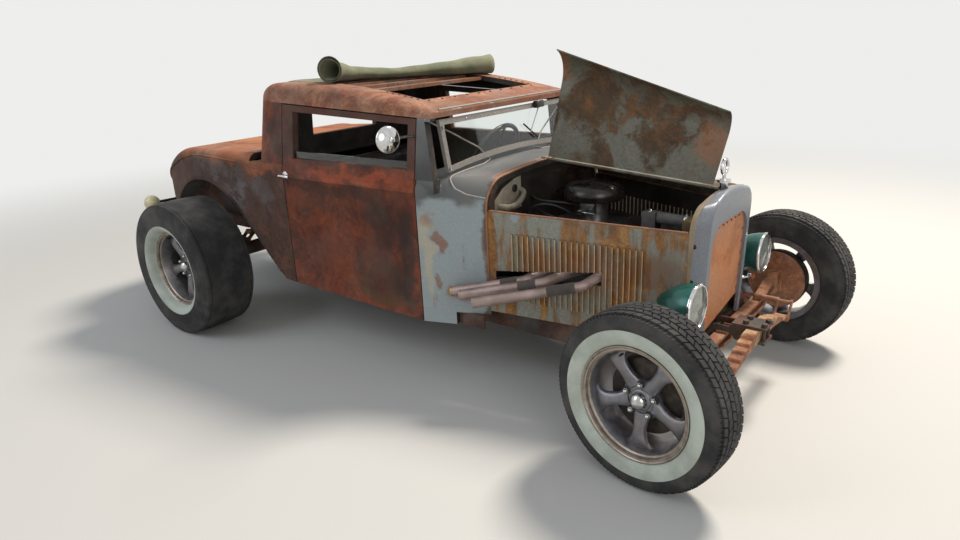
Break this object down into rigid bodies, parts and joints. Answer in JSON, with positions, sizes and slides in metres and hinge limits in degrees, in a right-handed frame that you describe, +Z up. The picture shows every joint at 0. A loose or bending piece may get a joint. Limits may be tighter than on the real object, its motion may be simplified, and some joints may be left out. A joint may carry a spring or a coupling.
{
  "type": "chopped coupe hot rod",
  "caption": "Low chopped coupe hot rod with bare wheels, louvered hood sides, open engine bay, side pipes, doors, deck lid and steering front wheels.",
  "frame": {"origin": "middle of the car's footprint, on the floor", "axes": "+X forward, +Y to the car's left, +Z up"},
  "size_m": [3.7706, 1.9104, 1.4208],
  "materials": {
    "door_rust": "red-orange rust over old brown paint",
    "body_rust": "dark brown and orange rust",
    "cowl_paint": "chalky grey-blue paint with rust spots",
    "hood_paint": "pale grey-blue paint under heavy rust",
    "shell_paint": "dull grey primer",
    "insert_copper": "copper-orange sheet",
    "frame_steel": "dark brown rusted paint",
    "axle_steel": "tan and orange surface rust",
    "mag_grey": "satin cast grey with a machined lip",
    "tyre_black": "black rubber with a wide white wall",
    "engine_iron": "oily black",
    "carb_metal": "shiny cast metal",
    "cleaner_black": "semi-gloss black",
    "hose_rubber": "dull grey",
    "core_brass": "darkened fins",
    "cap_chrome": "polished",
    "pipe_steel": "heat-stained pinkish grey",
    "windshield_paint": "bare grey with brown stain",
    "window_glass": "clear",
    "mirror_chrome": "polished",
    "slat_wood": "weathered",
    "canvas_green": "olive green coated canvas",
    "floor_paint": "dull black",
    "seat_leather": "worn black",
    "steering_black": "black rim and column",
    "lamp_teal": "deep teal green bucket with a chrome rim",
    "lens_glass": "clear",
    "small_lamp": "amber and cream lenses"
  },
  "bodies": {
    "chassis": {"frame": "frame_steel", "front_crossmember": "frame_steel", "leaf_springs": "axle_steel", "front_axle": "axle_steel", "rear_axle": "axle_steel", "engine_block": "engine_iron", "carburettor": "carb_metal", "air_cleaner": "cleaner_black", "radiator_hose": "hose_rubber", "radiator_core": "core_brass", "radiator_shell": "shell_paint", "grille_insert": "insert_copper", "radiator_cap": "cap_chrome", "exhaust_pipes": "pipe_steel", "hood_sides": "hood_paint", "hood_hinge": "hood_paint", "cowl": "cowl_paint", "windshield_frame": "windshield_paint", "windshield_glass": "window_glass", "rear_body": "body_rust", "cab_rear": "body_rust", "roof": "body_rust", "roof_slats": "slat_wood", "roof_canvas": "canvas_green", "floor": "floor_paint", "seat": "seat_leather", "steering_wheel": "steering_black", "headlamps": "lamp_teal", "headlamp_lenses": "lens_glass", "small_lamps": "small_lamp"},
    "door_left": {"door_left": "door_rust"},
    "door_right": {"door_right": "door_rust", "door_glass_right": "window_glass", "mirror": "mirror_chrome"},
    "hood_top_left": {"hood_top_left": "hood_paint"},
    "hood_top_right": {"hood_top_right": "hood_paint"},
    "deck_lid": {"deck_lid": "body_rust"},
    "knuckle_left": {"knuckle_left": "axle_steel"},
    "knuckle_right": {"knuckle_right": "axle_steel"},
    "tie_rod": {"tie_rod": "axle_steel"},
    "front_wheel_left": {"front_wheel_left": "mag_grey", "front_tyre_left": "tyre_black"},
    "front_wheel_right": {"front_wheel_right": "mag_grey", "front_tyre_right": "tyre_black"},
    "rear_wheel_left": {"rear_wheel_left": "mag_grey", "rear_tyre_left": "tyre_black"},
    "rear_wheel_right": {"rear_wheel_right": "mag_grey", "rear_tyre_right": "tyre_black"}
  },
  "joints": [
    {"name": "rear_spin_left", "type": "hinge", "parent": "chassis", "child": "rear_wheel_left", "pos_m": [-1.10963, 0.8085, 0.363], "axis": [0, 1, 0], "continuous": true},
    {"name": "steer_left", "type": "hinge", "parent": "chassis", "child": "knuckle_left", "pos_m": [1.55037, 0.615, 0.32], "axis": [0, 0, 1], "range_deg": [-25, 39]},
    {"name": "front_spin_left", "type": "hinge", "parent": "knuckle_left", "child": "front_wheel_left", "pos_m": [1.5639, 0.72517, 0.32], "axis": [0.1219, 0.9925, 0], "continuous": true},
    {"name": "door_hinge_left", "type": "hinge", "parent": "chassis", "child": "door_left", "pos_m": [0.40837, 0.6, 0.6], "axis": [0, 0, -1], "range_deg": [0, 60]},
    {"name": "rear_spin_right", "type": "hinge", "parent": "chassis", "child": "rear_wheel_right", "pos_m": [-1.10963, -0.8085, 0.363], "axis": [0, 1, 0], "continuous": true},
    {"name": "steer_right", "type": "hinge", "parent": "chassis", "child": "knuckle_right", "pos_m": [1.55037, -0.615, 0.32], "axis": [0, 0, 1], "range_deg": [-25, 39]},
    {"name": "front_spin_right", "type": "hinge", "parent": "knuckle_right", "child": "front_wheel_right", "pos_m": [1.53684, -0.72517, 0.32], "axis": [0.1219, 0.9925, 0], "continuous": true},
    {"name": "door_hinge_right", "type": "hinge", "parent": "chassis", "child": "door_right", "pos_m": [0.40837, -0.6, 0.6], "axis": [0, 0, 1], "range_deg": [0, 60]},
    {"name": "tie_rod_pivot", "type": "hinge", "parent": "knuckle_right", "child": "tie_rod", "pos_m": [1.42134, -0.59916, 0.196], "axis": [0, 0, 1], "range_deg": [-39, 25]},
    {"name": "hood_hinge_right", "type": "hinge", "parent": "chassis", "child": "hood_top_right", "pos_m": [0.69037, 0, 0.945], "axis": [0.9971, 0, -0.076], "range_deg": [0, 107]},
    {"name": "hood_hinge_left", "type": "hinge", "parent": "chassis", "child": "hood_top_left", "pos_m": [0.69037, 0, 0.945], "axis": [0.9971, 0, -0.076], "range_deg": [0, 60]},
    {"name": "deck_lid_hinge", "type": "hinge", "parent": "chassis", "child": "deck_lid", "pos_m": [-0.87463, 0, 0.962], "axis": [0, 1, 0], "range_deg": [0, 65]}
  ],
  "couplings": [
    {"joint": "steer_left", "follows": "steer_right", "ratio": 1},
    {"joint": "tie_rod_pivot", "follows": "steer_right", "ratio": -1}
  ]
}
